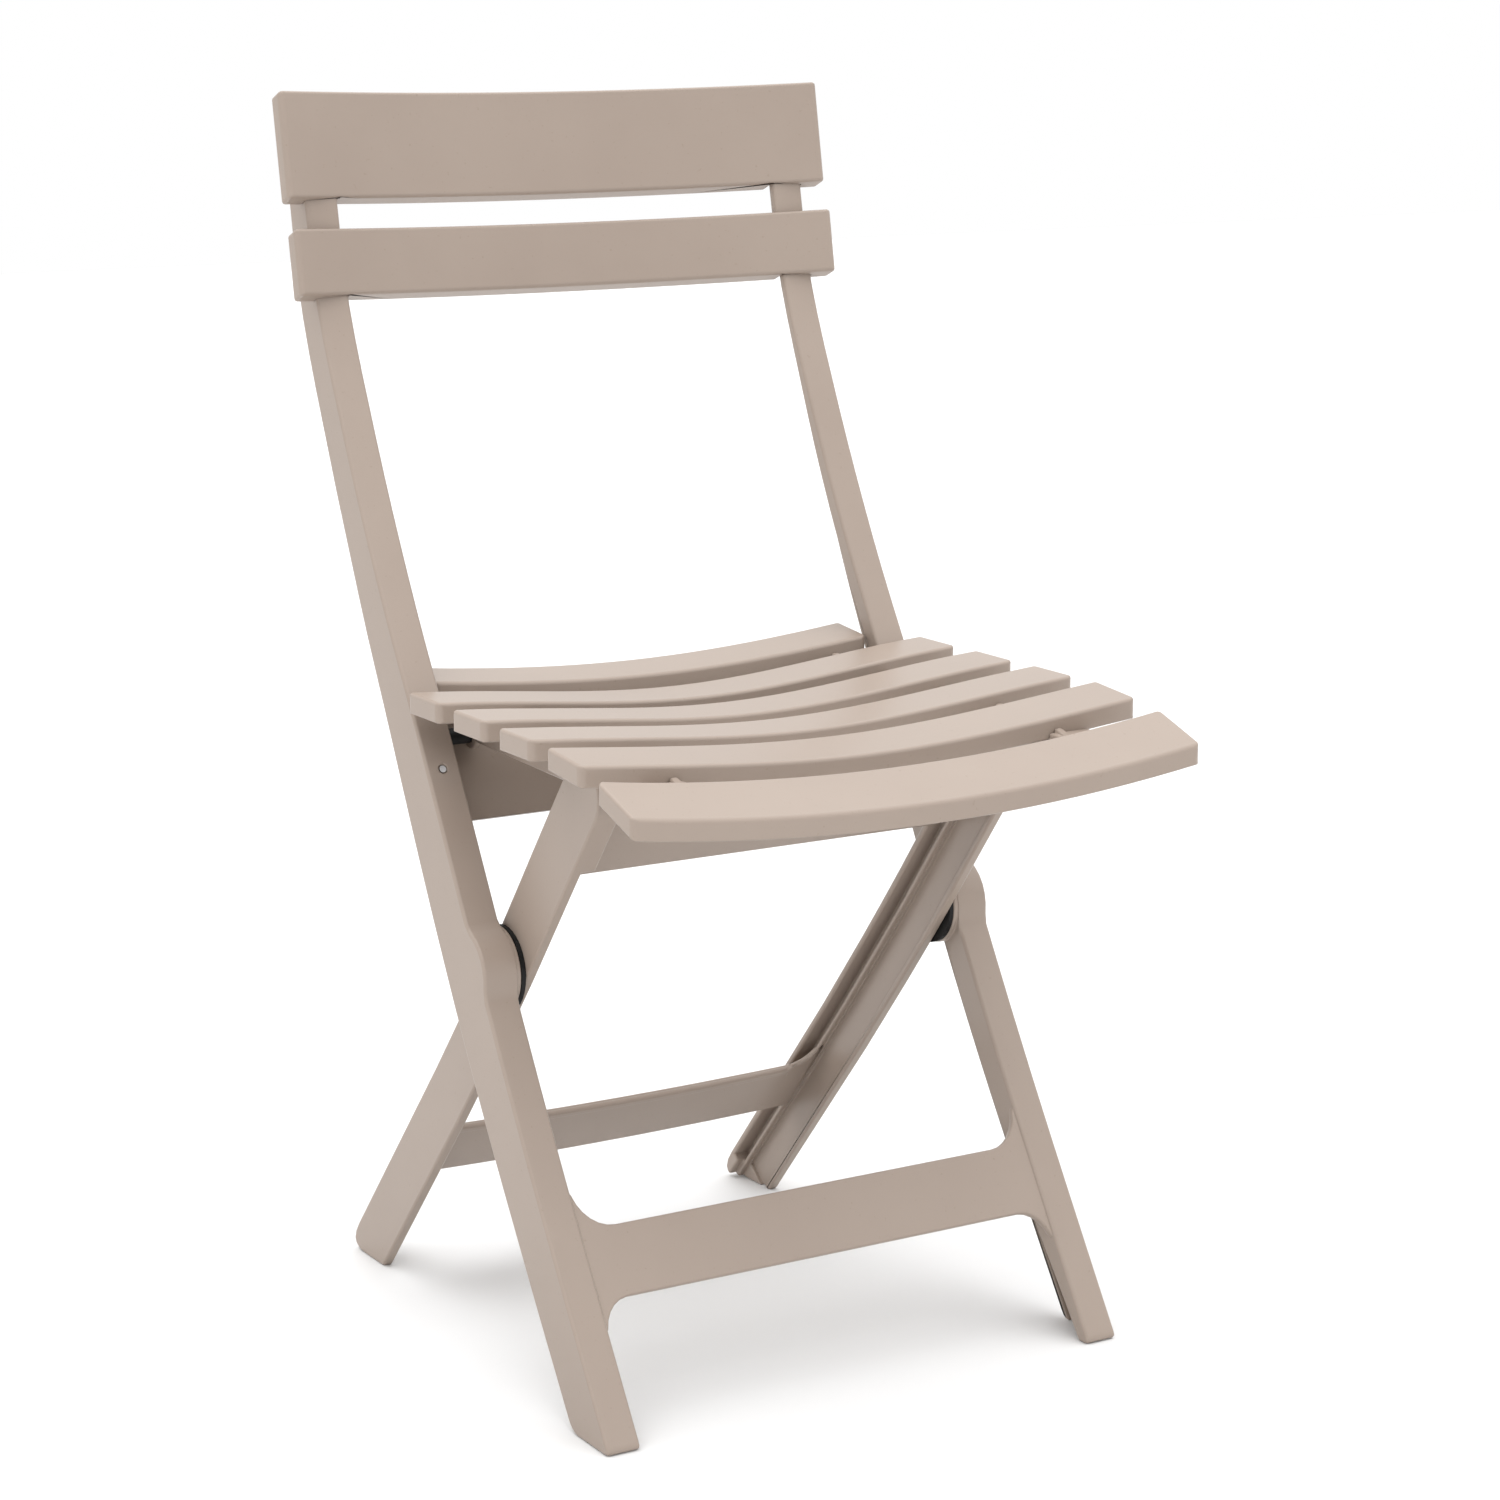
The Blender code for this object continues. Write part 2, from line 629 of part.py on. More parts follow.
def build_leg(name):
    """Plate with a deep rear flange, a middle rib and a low front flange on its inner side."""
    leg = prism(name, leg_outline(), LEG_INNER, LEG_OUTER)
    rib_rear = LEG_RIB_OFFSET + 0.5 * LEG_RIB_WALL
    rib_front = LEG_RIB_OFFSET - 0.5 * LEG_RIB_WALL
    past = 0.010

    def rear_edge(t):
        return leg_half(t) - LEG_FLANGE_WALL

    def front_edge(t):
        return LEG_FLANGE_WALL - leg_half(t)

    rib_top = LEG_OUTER - LEG_RIB
    front_top = LEG_OUTER - LEG_FRONT_FLANGE
    inside = LEG_INNER - past
    cut(leg,
        leg_band("rear_channel", lambda t: rib_rear, rear_edge,
                 inside, LEG_PLATE, LEG_CHANNEL_START, LEG_CHANNEL_END),
        leg_band("front_channel", front_edge, lambda t: rib_front,
                 inside, LEG_PLATE, LEG_CHANNEL_START, LEG_CHANNEL_END),
        leg_band("rib_edge", lambda t: rib_front - OVERLAP, lambda t: rib_rear + OVERLAP,
                 inside, rib_top, LEG_RIB_START, 1.0),
        leg_band("front_edge", lambda t: -leg_half(t) - past, lambda t: rib_front + 0.5 * OVERLAP,
                 inside, front_top, LEG_RIB_START, 1.0))
    cut(leg,
        pin("hub_hole", HUB, HUB_PIN + CLEAR, LEG_PLATE + HUB_PIN_LEG_BLIND, LEG_OUTER + past),
        pin("hinge_hole", HINGE, HINGE_PIN + CLEAR, inside, LEG_OUTER - HINGE_PIN_BLIND))
    return leg


def leg_height_station(z, offset):
    """Value of t at which a leg point at an offset has height z."""
    low, high = 0.0, 1.0
    for _ in range(40):
        middle = 0.5 * (low + high)
        if leg_point(middle, offset)[1] > z:
            low = middle
        else:
            high = middle
    return 0.5 * (low + high)


def leg_bar(name, half, top, bottom, sag, inner, outer, fillet, fillet_below=0.0):
    """Bar between the legs, in the plane of their ribs or flanges, lower at its middle."""
    loops = []
    for x in bar_stations(half, fillet, flat_steps=12):
        dip = sag * (1 - (x / half)**2)
        rise = fillet_rise(x, half, fillet)
        t_top = leg_height_station(top - dip + rise, outer)
        t_bottom = leg_height_station(bottom - dip + rise * fillet_below, outer)
        corners = [leg_point(t_top, outer), leg_point(t_top, inner),
                   leg_point(t_bottom, inner), leg_point(t_bottom, outer)]
        loops.append([(x, y, z) for y, z in corners])
    return loft(name, loops)


def build_lower_rail(name):
    half = LEG_OUTER - LEG_RIB - CLEAR
    front = LEG_RIB_OFFSET - 0.5 * RAIL_WALL
    rear = LEG_RIB_OFFSET + 0.5 * RAIL_WALL
    rail = leg_bar(name, half, RAIL_TOP, RAIL_BOTTOM, RAIL_SAG, front, rear, RAIL_FILLET)
    ledge = leg_bar("ledge", half - RAIL_FILLET, RAIL_TOP - 0.5 * OVERLAP, RAIL_TOP - RAIL_LEDGE_HEIGHT,
                    RAIL_SAG, front - RAIL_LEDGE, front + OVERLAP, RAIL_LEDGE)
    return join(rail, ledge)


def build_apron(name):
    edge = leg_half(0.2)
    return leg_bar(name, LEG_INNER - CLEAR, APRON_TOP, APRON_BOTTOM, APRON_SAG,
                   edge - LEG_FLANGE_WALL, edge, APRON_FILLET)


# ---- seat ----
def slat_places():
    """Rear y, front y, rear z, front z, half width, sag and wave of each slat, from the rear."""
    slat_2_rear = smooth_value(STILE_LINE, SEAT_TOP - SLAT_HEIGHT) - SLAT_2_GAP
    slat_1_front = slat_2_rear + SLAT_1_GAP
    rows = [(slat_1_front + SLAT_1_WIDTH, slat_1_front, SEAT_TOP + SLAT_1_RISE, SEAT_TOP,
             STILE_INNER - SLAT_1_SIDE_GAP, SLAT_SAG[0], SLAT_WAVE[0])]
    drops = ((0.0, 0.0), (0.0, 0.0), (0.0, 0.0), (0.0, SLAT_5_DROP), (SLAT_6_REAR_DROP, SLAT_6_FRONT_DROP))
    for i, (rear_drop, front_drop) in enumerate(drops):
        rear = slat_2_rear - SLAT_PITCH * i
        half = SLAT_HALF_REAR + (SLAT_HALF_FRONT - SLAT_HALF_REAR) * i / 4
        rows.append((rear, rear - SLAT_WIDTH, SEAT_TOP - rear_drop, SEAT_TOP - front_drop, half,
                     SLAT_SAG[i + 1], SLAT_WAVE[i + 1]))
    return rows


def seat_dip(x, row):
    """How far a slat is dished at x."""
    half, sag, wave = row[4:]
    out = min(abs(x) / half, 1.0)
    return sag * (wave * (0.5 + 0.5 * math.cos(math.pi * out)) + (1 - wave) * (1 - out**2))


def slat_loops(row, side_in, wall, top_in, low_out):
    """Loops along x for a seat slat, dished at its middle."""
    rear, front, rear_z, front_z, half = row[:5]
    reach = half - side_in
    slope = (rear_z - front_z) / (rear - front)
    a, b = rear - wall, front + wall
    a_z, b_z = rear_z - slope * wall, front_z + slope * wall
    loops = []
    for i in range(SLAT_STEPS + 1):
        x = -reach + 2 * reach * i / SLAT_STEPS
        dip = seat_dip(x, row)
        low = dip + SLAT_HEIGHT + low_out
        top = dip + top_in
        loops.append([(x, a, a_z - top), (x, b, b_z - top), (x, b, b_z - low), (x, a, a_z - low)])
    return loops


def build_slat(name, row):
    """Slat with a top, two skirts and two ends, open below."""
    slat = loft(name, slat_loops(row, 0.0, 0.0, 0.0, 0.0))
    return cut(slat, loft("hollow", slat_loops(row, SLAT_WALL, SLAT_WALL, SLAT_WALL, 0.010)))


def slat_under(row, y, x):
    """Height of a slat's lower side at y, less the touching gap."""
    rear, front, rear_z, front_z = row[:4]
    t = (rear - y) / (rear - front)
    return rear_z + (front_z - rear_z) * t - SLAT_HEIGHT - seat_dip(x, row) - 2 * CLEAR


def rail_outline():
    """Side outline of a seat rail: it follows the slats above and rises into the gaps."""
    x = SEAT_RAIL_INNER
    rail_end = SLIDE[0] + SLIDE_LUG
    up = SEAT_RAIL_RISE * SLAT_HEIGHT
    outline = []
    for row in slat_places():
        rear = row[0] + CLEAR
        front = row[1] - CLEAR
        if outline:
            outline.append((rear, slat_under(row, row[0], x) + up))
            outline.append((rear, slat_under(row, row[0], x)))
        else:
            outline.append((rail_end, slat_under(row, rail_end, x)))
        if front < SEAT_RAIL_FRONT:
            outline.append((SEAT_RAIL_FRONT, slat_under(row, SEAT_RAIL_FRONT, x)))
            break
        outline.append((front, slat_under(row, row[1], x)))
        outline.append((front, slat_under(row, row[1], x) + up))
    outline.append((SEAT_RAIL_FRONT, SEAT_TOP - SEAT_RAIL_FRONT_DROP))
    outline.append((SLIDE[0], SEAT_TOP - SEAT_RAIL_REAR_DROP))
    outline.append((rail_end, SLIDE[1]))
    return outline


def bridge_outline():
    """Side outline of the bridge between slats 5 and 6."""
    behind, ahead = slat_places()[4:6]
    top = ahead[2] - seat_dip(BRIDGE_INNER, ahead) - BRIDGE_DROP
    low = slat_under(behind, behind[1], SEAT_RAIL_INNER) - 2 * OVERLAP
    rear, front = behind[1] - CLEAR, ahead[0] + CLEAR
    return [(rear, top), (rear, low), (front, low), (front, top)]


def build_seat_rail(name):
    """Web under the slats with lugs for the hinge pin and the slide pin."""
    past = 0.010
    inner, outer = SEAT_RAIL_INNER, SEAT_RAIL_OUTER
    rail = prism(name, rail_outline(), inner, outer)
    join(rail,
         pin("hinge_lug", HINGE, HINGE_LUG, inner, outer, 28),
         pin("slide_lug", SLIDE, SLIDE_LUG, inner, outer, 24),
         prism("bridge", bridge_outline(), BRIDGE_INNER, BRIDGE_OUTER))
    cut(rail,
        pin("hinge_hole", HINGE, HINGE_PIN + CLEAR, inner - past, outer + past),
        pin("slide_hole", SLIDE, SLIDE_PIN + CLEAR, inner - past, outer + past))
    return rail


# ---- assembly ----
def clear_scene():
    for obj in list(bpy.data.objects):
        bpy.data.objects.remove(obj)


def build_hub(word):
    """Pin and washer between stile and leg."""
    place(pin(word + "_hub_pin", HUB, HUB_PIN, LEG_PLATE + HUB_PIN_LEG_BLIND + CLEAR,
              STILE_OUTER - HUB_PIN_BLIND - CLEAR), STEEL, smooth=True)
    washer = pin(word + "_hub_washer", HUB, WASHER_RADIUS, LEG_OUTER + CLEAR,
                 STILE_INNER - HUB_CHEEK - CLEAR, 32)
    cut(washer, pin("hole", HUB, HUB_PIN + CLEAR, LEG_INNER, STILE_OUTER))
    place(washer, BLACK, smooth=True)


def build_main_frame():
    stile = build_stile("right_stile")
    place(screw_holes(stile), RESIN, smooth=True)
    build_hub("right")
    place(build_stop("right_slide_stop"), BLACK)
    place(build_screw("right_stop_screw"), STEEL, smooth=True)
    place(build_front_panel("front_lower_panel"), RESIN)
    place(build_cross_panel("rear_cross_panel"), RESIN)
    place(build_back_slat("back_top_slat", BACK_TOP, TOP_SLAT_HEIGHT, 0.0), RESIN, smooth=True)
    place(build_back_slat("back_lower_slat", LOWER_SLAT_TOP, LOWER_SLAT_HEIGHT, LOWER_SLAT_FORWARD),
          RESIN, smooth=True)


def build_leg_frame():
    hub = pivot("leg_frame_pivot", HUB)
    place(build_leg("right_rear_leg"), RESIN, hub, smooth=True)
    hinge_pin = pin("right_hinge_pin", HINGE, HINGE_PIN, SEAT_RAIL_INNER - PIN_END,
                    LEG_OUTER - HINGE_PIN_BLIND - CLEAR)
    place(hinge_pin, STEEL, hub, smooth=True)
    place(build_lower_rail("leg_lower_rail"), RESIN, hub, smooth=True)
    place(build_apron("leg_apron"), RESIN, hub, smooth=True)


def build_slide(word, parent):
    """Slide pin with a spacer outside the seat rail and a shoe in the stile channel."""
    channel_start = STILE_INNER + STILE_FLANGE_WALL
    channel_end = STILE_OUTER - STILE_WALL
    place(pin(word + "_slide_pin", SLIDE, SLIDE_PIN, SEAT_RAIL_INNER - PIN_END, channel_end - 3 * CLEAR),
          STEEL, parent, smooth=True)
    spacer = pin(word + "_slide_spacer", SLIDE, SPACER_RADIUS, SEAT_RAIL_OUTER + CLEAR,
                 STILE_INNER - SLIDE_SIDE_GAP)
    shoe = pin(word + "_slide_shoe", SLIDE, SHOE_RADIUS, channel_start + SLIDE_SIDE_GAP,
               channel_end - SLIDE_SIDE_GAP)
    for sleeve in (spacer, shoe):
        cut(sleeve, pin("bore", SLIDE, SLIDE_PIN + CLEAR, 0.5 * STILE_INNER, 1.5 * STILE_OUTER))
        place(sleeve, BLACK, parent, smooth=True)


def build_seat():
    hinge = pivot("seat_pivot", HINGE)
    for number, row in enumerate(slat_places(), start=1):
        place(build_slat(f"seat_slat_{number}", row), RESIN, hinge, smooth=True)
    place(build_seat_rail("right_seat_rail"), RESIN, hinge, smooth=True)
    build_slide("right", hinge)


def mirror_right_pieces():
    """Gives every piece of the right side its twin on the left."""
    across = Matrix.Diagonal((-1.0, 1.0, 1.0, 1.0))
    for obj in [obj for obj in bpy.data.objects if obj.name.startswith("right_")]:
        mesh = obj.data.copy()
        mesh.transform(across)
        mesh.flip_normals()
        twin = bpy.data.objects.new(obj.name.replace("right_", "left_"), mesh)
        twin.parent = obj.parent
        bpy.context.scene.collection.objects.link(twin)


def centre_on_origin():
    """Moves everything along Y so that the whole chair is centred on Y = 0."""
    bpy.context.view_layer.update()
    meshes = [obj for obj in bpy.data.objects if obj.type == "MESH"]
    places = [(obj.matrix_world @ vertex.co).y for obj in meshes for vertex in obj.data.vertices]
    back = -0.5 * (min(places) + max(places))
    for obj in bpy.data.objects:
        if obj.parent:
            continue
        if obj.type == "MESH":
            obj.data.transform(Matrix.Translation((0.0, back, 0.0)))
        else:
            obj.location.y += back


clear_scene()
build_main_frame()
build_leg_frame()
build_seat()
mirror_right_pieces()
centre_on_origin()
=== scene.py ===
import json
import math
import bmesh
import bpy
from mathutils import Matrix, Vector


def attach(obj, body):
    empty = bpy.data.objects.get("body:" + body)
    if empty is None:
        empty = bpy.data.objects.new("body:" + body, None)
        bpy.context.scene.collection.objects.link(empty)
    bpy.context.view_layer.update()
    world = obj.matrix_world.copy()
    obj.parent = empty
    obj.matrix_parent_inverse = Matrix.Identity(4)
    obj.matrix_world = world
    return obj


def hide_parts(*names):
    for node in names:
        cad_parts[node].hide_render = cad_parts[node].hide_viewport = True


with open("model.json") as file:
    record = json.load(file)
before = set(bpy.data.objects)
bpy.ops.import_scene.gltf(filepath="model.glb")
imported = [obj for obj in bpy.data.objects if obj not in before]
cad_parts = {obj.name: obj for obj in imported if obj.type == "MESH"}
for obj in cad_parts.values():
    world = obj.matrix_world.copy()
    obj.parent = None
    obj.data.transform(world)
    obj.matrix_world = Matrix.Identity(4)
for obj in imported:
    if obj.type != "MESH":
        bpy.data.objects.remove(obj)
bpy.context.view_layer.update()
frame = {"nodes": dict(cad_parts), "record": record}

print("frame loaded:", len(frame["nodes"]), "nodes")

record = frame["record"]
bodyOf = {node: body for body, nodes in record["behaviour"]["bodies"].items() for node in nodes}
slotOf = {entry["node"]: entry["material_slot"] for entry in record["subparts"]}
hub = Vector(record["behaviour"]["joints"][0]["pos_m"])


class Link:
    # wraps a socket, so that an expression on it adds Math nodes
    def __init__(self, tree, socket):
        self.tree = tree
        self.socket = socket

    def math(self, operation, *values):
        node = self.tree.nodes.new("ShaderNodeMath")
        node.operation = operation
        for number, value in enumerate(values):
            connect(self.tree, node.inputs[number], value)
        return Link(self.tree, node.outputs[0])

    def __add__(self, other):
        return self.math("ADD", self, other)

    __radd__ = __add__

    def __sub__(self, other):
        return self.math("SUBTRACT", self, other)

    def __rsub__(self, other):
        return self.math("SUBTRACT", other, self)

    def __mul__(self, other):
        return self.math("MULTIPLY", self, other)

    __rmul__ = __mul__

    def clamped(self):
        return self.math("MAXIMUM", self.math("MINIMUM", self, 1.0), 0.0)


def connect(tree, socket, value):
    if isinstance(value, Link):
        tree.links.new(value.socket, socket)
    else:
        socket.default_value = value


class Finish:
    # one material and the nodes that feed its Principled shader
    def __init__(self, name):
        self.material = bpy.data.materials.new(name)
        self.material.use_nodes = True
        self.tree = self.material.node_tree
        self.shader = self.tree.nodes["Principled BSDF"]
        self.place = self.node("ShaderNodeTexCoord", {}, {}, "Object")

    def node(self, kind, settings, values, output=0):
        made = self.tree.nodes.new(kind)
        for key, value in settings.items():
            setattr(made, key, value)
        for key, value in values.items():
            connect(self.tree, made.inputs[key], value)
        return Link(self.tree, made.outputs[output])

    def noise(self, pattern):
        place = self.place
        if "stretch" in pattern:
            place = self.node("ShaderNodeMapping", {}, {"Vector": place, "Scale": pattern["stretch"]})
        values = {"Vector": place, "Scale": pattern["scale"], "Detail": pattern["detail"],
                  "Roughness": pattern["rough"]}
        return self.node("ShaderNodeTexNoise", {"noise_dimensions": "3D"}, values, "Fac")

    def mix(self, share, first, second):
        # sockets 0, 6, 7 and output 2 are the ones a colour mix uses
        return self.node("ShaderNodeMix", {"data_type": "RGBA"}, {0: share, 6: first, 7: second}, 2)

    def bump(self, height, strength, distance, under=None):
        values = {"Height": height, "Strength": strength, "Distance": distance}
        if under:
            values["Normal"] = under
        return self.node("ShaderNodeBump", {}, values, "Normal")

    def feed(self, **values):
        for key, value in values.items():
            connect(self.tree, self.shader.inputs[key.replace("_", " ")], value)
        return self.material


resin = {
    "light": (0.330, 0.267, 0.223, 1.0), "dark": (0.304, 0.243, 0.202, 1.0), "speck": (0.22, 0.17, 0.13, 1.0),
    "cloud": {"scale": 9.0, "detail": 3.0, "rough": 0.55}, "cloudContrast": 1.6, "cloudCut": 0.3,
    "grain": {"scale": 1500.0, "detail": 2.0, "rough": 0.6}, "grainStrength": 0.35, "grainDepth": 0.00004,
    "spots": {"scale": 420.0, "detail": 1.0, "rough": 0.5}, "spotsFrom": 0.70, "spotsContrast": 9.0,
    "spotsShare": 0.35,
    "wave": {"scale": 26.0, "detail": 1.0, "rough": 0.4}, "waveStrength": 0.20, "waveDepth": 0.0004,
    "roughness": 0.26, "cloudRoughness": 0.10, "grainRoughness": 0.08, "ior": 1.46,
}


def resinFinish():
    # moulded resin: cloudy tone, a fine eroded grain and slow waviness of the surface
    finish = Finish("mouldedResin")
    cloud = finish.noise(resin["cloud"])
    fine = finish.noise(resin["grain"])
    speck = ((finish.noise(resin["spots"]) - resin["spotsFrom"]) * resin["spotsContrast"]).clamped()
    tone = (cloud * resin["cloudContrast"] - resin["cloudCut"]).clamped()
    colour = finish.mix(tone, resin["dark"], resin["light"])
    colour = finish.mix(speck * resin["spotsShare"], colour, resin["speck"])
    wave = finish.noise(resin["wave"])
    grain = finish.bump(fine, resin["grainStrength"], resin["grainDepth"])
    normal = finish.bump(wave, resin["waveStrength"], resin["waveDepth"], grain)
    roughness = cloud * resin["cloudRoughness"] + fine * resin["grainRoughness"] + resin["roughness"]
    return finish.feed(Base_Color=colour, Roughness=roughness, Normal=normal, IOR=resin["ior"])


nylon = {
    "colour": (0.005, 0.005, 0.005, 1.0), "worn": (0.013, 0.012, 0.012, 1.0),
    "cloud": {"scale": 60.0, "detail": 3.0, "rough": 0.6}, "cloudContrast": 2.0, "cloudCut": 0.8,
    "grain": {"scale": 1600.0, "detail": 1.0, "rough": 0.5}, "grainStrength": 0.3, "grainDepth": 0.00005,
    "roughness": 0.48, "cloudRoughness": 0.2, "shine": 0.25,
}


def nylonFinish():
    finish = Finish("blackNylon")
    cloud = finish.noise(nylon["cloud"])
    fine = finish.noise(nylon["grain"])
    wear = (cloud * nylon["cloudContrast"] - nylon["cloudCut"]).clamped()
    return finish.feed(Base_Color=finish.mix(wear, nylon["colour"], nylon["worn"]),
                       Roughness=cloud * nylon["cloudRoughness"] + nylon["roughness"],
                       Specular_IOR_Level=nylon["shine"],
                       Normal=finish.bump(fine, nylon["grainStrength"], nylon["grainDepth"]))


zinc = {
    "bright": (0.66, 0.66, 0.67, 1.0), "dull": (0.46, 0.46, 0.47, 1.0),
    "cloud": {"scale": 140.0, "detail": 3.0, "rough": 0.6},
    "grain": {"scale": 900.0, "detail": 2.0, "rough": 0.6, "stretch": (0.15, 1.0, 1.0)},
    "grainStrength": 0.25, "grainDepth": 0.00004,
    "roughness": 0.20, "cloudRoughness": 0.2,
}


def zincFinish():
    finish = Finish("zincSteel")
    cloud = finish.noise(zinc["cloud"])
    fine = finish.noise(zinc["grain"])
    return finish.feed(Base_Color=finish.mix(cloud, zinc["dull"], zinc["bright"]), Metallic=1.0,
                       Roughness=cloud * zinc["cloudRoughness"] + zinc["roughness"],
                       Normal=finish.bump(fine, zinc["grainStrength"], zinc["grainDepth"]))


finishes = {"resin": resinFinish(), "black_nylon": nylonFinish(), "steel": zincFinish()}
print("finishes made")


# radii in metres: along the member, on its upright edges, and in its inner corners
stile = {"edge": 0.0024, "upright": 0.0024, "inside": 0.0012}
leg = {"edge": 0.0018, "upright": 0.0018, "inside": 0.0006}
slat = {"edge": 0.0026, "upright": 0.0050, "inside": 0.0010}
bar = {"edge": 0.0016, "upright": 0.0016, "inside": 0.0008}
rounding = {"stile": stile, "rear_leg": leg, "slat": slat, "panel": bar, "rail": bar, "apron": bar}

soft = {
    "merge": 0.00001,       # doubles closer than this are one vertex
    "flat": 0.6,            # degrees below which two triangles are one face
    "sharp": 28.0,          # degrees from which an edge is rounded
    "segments": 4,
    "share": 0.42,          # largest radius, as a share of the narrower face beside the edge
    "skew": 0.7,            # cosine past which another edge lies along this one, not across from it
    "tiny": 0.000001,       # a length that counts as nothing
    "upright": 0.85,        # z of the direction of an upright edge
    "near": 0.0006,         # how close a vertex lies to the joint it belongs to
    "gap": 0.0003,          # between two members of one moulding
    "into": 0.0030,         # how far a member runs into an upright
}
crossMembers = ("front_lower_panel", "rear_cross_panel", "leg_lower_rail", "leg_apron")


def room(edge, face):
    # distance from the middle of an edge to the far side of one of its faces
    middle = (edge.verts[0].co + edge.verts[1].co) / 2
    along = (edge.verts[1].co - edge.verts[0].co).normalized()
    nearest = 1.0
    for other in face.edges:
        if other is edge or set(other.verts) & set(edge.verts):
            continue
        start, end = (vert.co for vert in other.verts)
        line = end - start
        share = (middle - start).dot(line) / max(line.length_squared, soft["tiny"] ** 2)
        gap = start + line * min(1.0, max(0.0, share)) - middle
        if gap.length > soft["tiny"] and abs(gap.normalized().dot(along)) < soft["skew"]:
            nearest = min(nearest, gap.length)
    return nearest


def edgeRadius(edge, widths, joints):
    if len(edge.link_faces) != 2 or edge.calc_face_angle() < math.radians(soft["sharp"]):
        return 0.0
    if any(all(abs(abs(vert.co.x) - at) < soft["near"] for vert in edge.verts) for at in joints):
        return 0.0
    along = (edge.verts[1].co - edge.verts[0].co).normalized()
    kind = "upright" if abs(along.z) > soft["upright"] else "edge"
    wanted = widths[kind] if edge.is_convex else widths["inside"]
    return min(wanted, soft["share"] * min(room(edge, face) for face in edge.link_faces))


def reach(node):
    # smallest and largest distance of a node from the middle plane
    sides = [abs(vert.co.x) for vert in frame["nodes"][node].data.vertices]
    return min(sides), max(sides)


def joinedAt(node):
    # where a member meets the uprights of its own moulding
    if node.startswith("back_"):
        inner, outer = reach("left_stile")
        return inner - soft["gap"], outer + soft["gap"]
    if node in crossMembers:
        return (reach(node)[1],)
    return ()


def runInto(bm, end):
    # carries the end faces of a member into the uprights, so that no slit shows
    for vert in bm.verts:
        if abs(abs(vert.co.x) - end) < soft["near"]:
            vert.co.x += math.copysign(soft["into"], vert.co.x)


def mouldingMesh(node, widths):
    bm = bmesh.new()
    bm.from_mesh(frame["nodes"][node].data)
    bmesh.ops.remove_doubles(bm, verts=bm.verts, dist=soft["merge"])
    bmesh.ops.dissolve_limit(bm, angle_limit=math.radians(soft["flat"]), verts=bm.verts, edges=bm.edges)
    bm.normal_update()
    joints = joinedAt(node)
    share = bm.edges.layers.float.new("bevel_weight_edge")
    for edge in bm.edges:
        edge[share] = edgeRadius(edge, widths, joints) / max(widths.values())
    if node in crossMembers:
        runInto(bm, joints[0])
    mesh = bpy.data.meshes.new(node + "Moulding")
    bm.to_mesh(mesh)
    bm.free()
    mesh.shade_smooth()
    mesh.materials.append(finishes[slotOf[node]])
    return mesh


def roundedCopy(node, widths):
    piece = bpy.data.objects.new(node + "_moulding", mouldingMesh(node, widths))
    bpy.context.scene.collection.objects.link(piece)
    bevel = piece.modifiers.new("round", "BEVEL")
    bevel.width = max(widths.values())
    bevel.segments = soft["segments"]
    bevel.limit_method = "WEIGHT"
    bevel.use_clamp_overlap = False
    weighted = piece.modifiers.new("normals", "WEIGHTED_NORMAL")
    weighted.keep_sharp = True
    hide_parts(node)
    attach(piece, bodyOf[node])


def paintAsIs(node):
    # pins, screws, washers and shoes keep the solid's own shape
    mesh = frame["nodes"][node].data
    mesh.materials.clear()
    mesh.materials.append(finishes[slotOf[node]])


for node in sorted(frame["nodes"]):
    if slotOf[node] == "resin":
        roundedCopy(node, next(widths for word, widths in rounding.items() if word in node))
    else:
        paintAsIs(node)
print("mouldings rounded")


studio = {
    "floorHalf": 9.0, "floorTone": 0.72, "floorRoughness": 1.0,
    "aim": (0.0, 0.0, 0.4),
    "key": {"place": (-0.5, 0.1, 3.0), "size": (2.6, 2.0), "watts": 9.0},
    "fill": {"place": (-2.6, -1.6, 1.2), "size": (1.8, 1.8), "watts": 3.0},
    "horizon": 1.0, "zenith": 3.0,      # strength of the sky, which rises with the cube of the height
}
view = {"lens": 87.15, "sensor": 36.0, "aside": -1.2225, "back": -2.0490, "above": 0.6308,
        "turn": (78.081, 0.0, -31.2515)}


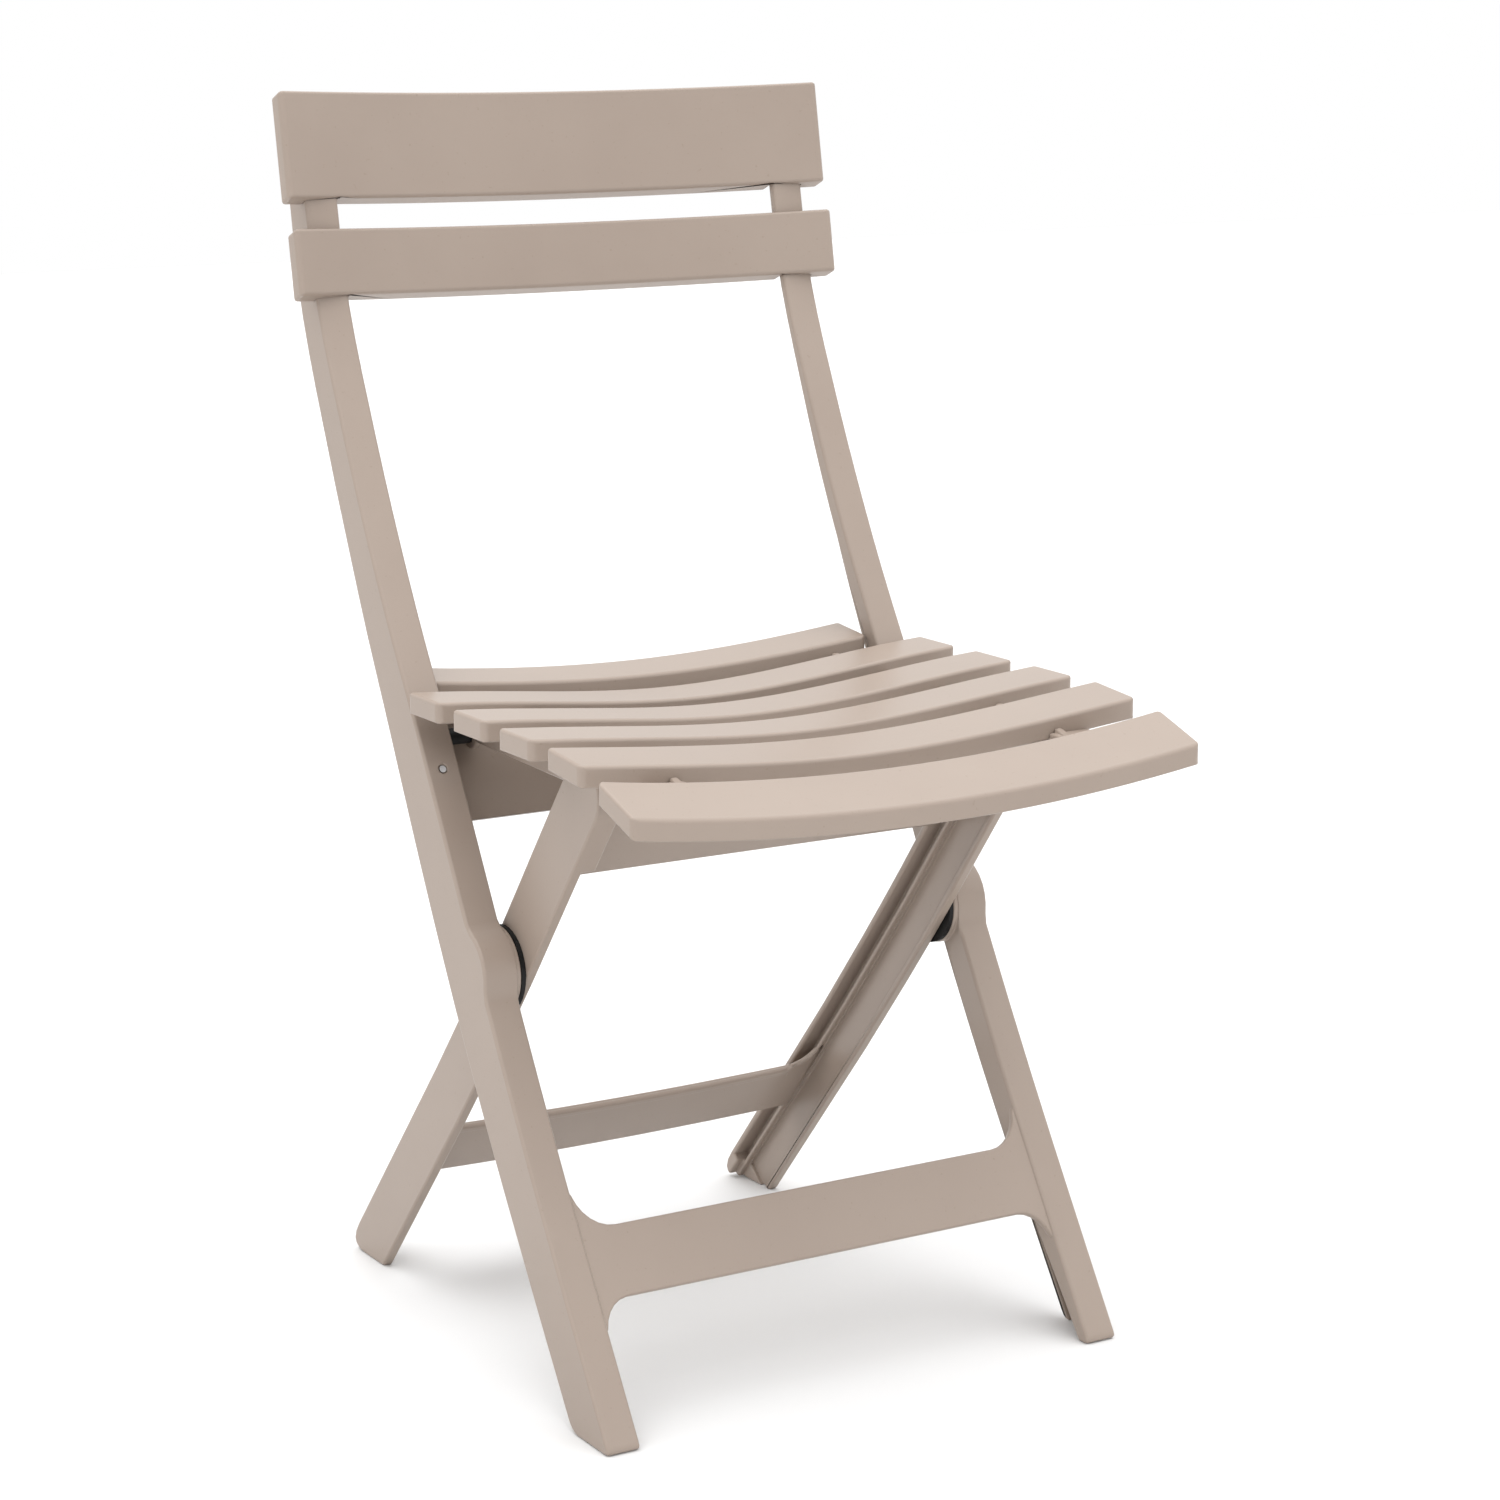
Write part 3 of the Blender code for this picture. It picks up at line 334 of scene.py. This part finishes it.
def floorPlane():
    bm = bmesh.new()
    bmesh.ops.create_grid(bm, x_segments=1, y_segments=1, size=studio["floorHalf"])
    mesh = bpy.data.meshes.new("floor")
    bm.to_mesh(mesh)
    bm.free()
    plane = bpy.data.objects.new("floor", mesh)
    bpy.context.scene.collection.objects.link(plane)
    tone = studio["floorTone"]
    mesh.materials.append(Finish("paleFloor").feed(Base_Color=(tone, tone, tone, 1.0),
                                                   Roughness=studio["floorRoughness"]))


def softLight(name):
    lampData = bpy.data.lights.new(name, "AREA")
    lampData.shape = "RECTANGLE"
    lampData.size, lampData.size_y = studio[name]["size"]
    lampData.energy = studio[name]["watts"]
    lamp = bpy.data.objects.new(name, lampData)
    lamp.location = studio[name]["place"]
    toAim = Vector(studio["aim"]) - lamp.location
    lamp.rotation_euler = toAim.to_track_quat("-Z", "Y").to_euler()
    bpy.context.scene.collection.objects.link(lamp)


def paleSky():
    world = bpy.data.worlds.new("studio")
    world.use_nodes = True
    sky = world.node_tree
    direction = sky.nodes.new("ShaderNodeTexCoord")
    parts = sky.nodes.new("ShaderNodeSeparateXYZ")
    sky.links.new(direction.outputs["Generated"], parts.inputs[0])
    height = Link(sky, parts.outputs["Z"]).clamped()
    strength = height * height * height * (studio["zenith"] - studio["horizon"]) + studio["horizon"]
    connect(sky, sky.nodes["Background"].inputs["Strength"], strength)
    connect(sky, sky.nodes["Background"].inputs["Color"], (1.0, 1.0, 1.0, 1.0))
    bpy.context.scene.world = world


def viewCamera():
    cameraData = bpy.data.cameras.new("camera")
    cameraData.lens = view["lens"]
    cameraData.sensor_width = view["sensor"]
    camera = bpy.data.objects.new("camera", cameraData)
    camera.location = (view["aside"], hub.y + view["back"], hub.z + view["above"])
    camera.rotation_euler = [math.radians(degrees) for degrees in view["turn"]]
    bpy.context.scene.collection.objects.link(camera)
    bpy.context.scene.camera = camera


floorPlane()
softLight("key")
softLight("fill")
paleSky()
viewCamera()
bpy.context.scene.view_settings.view_transform = "Standard"
print("studio ready")
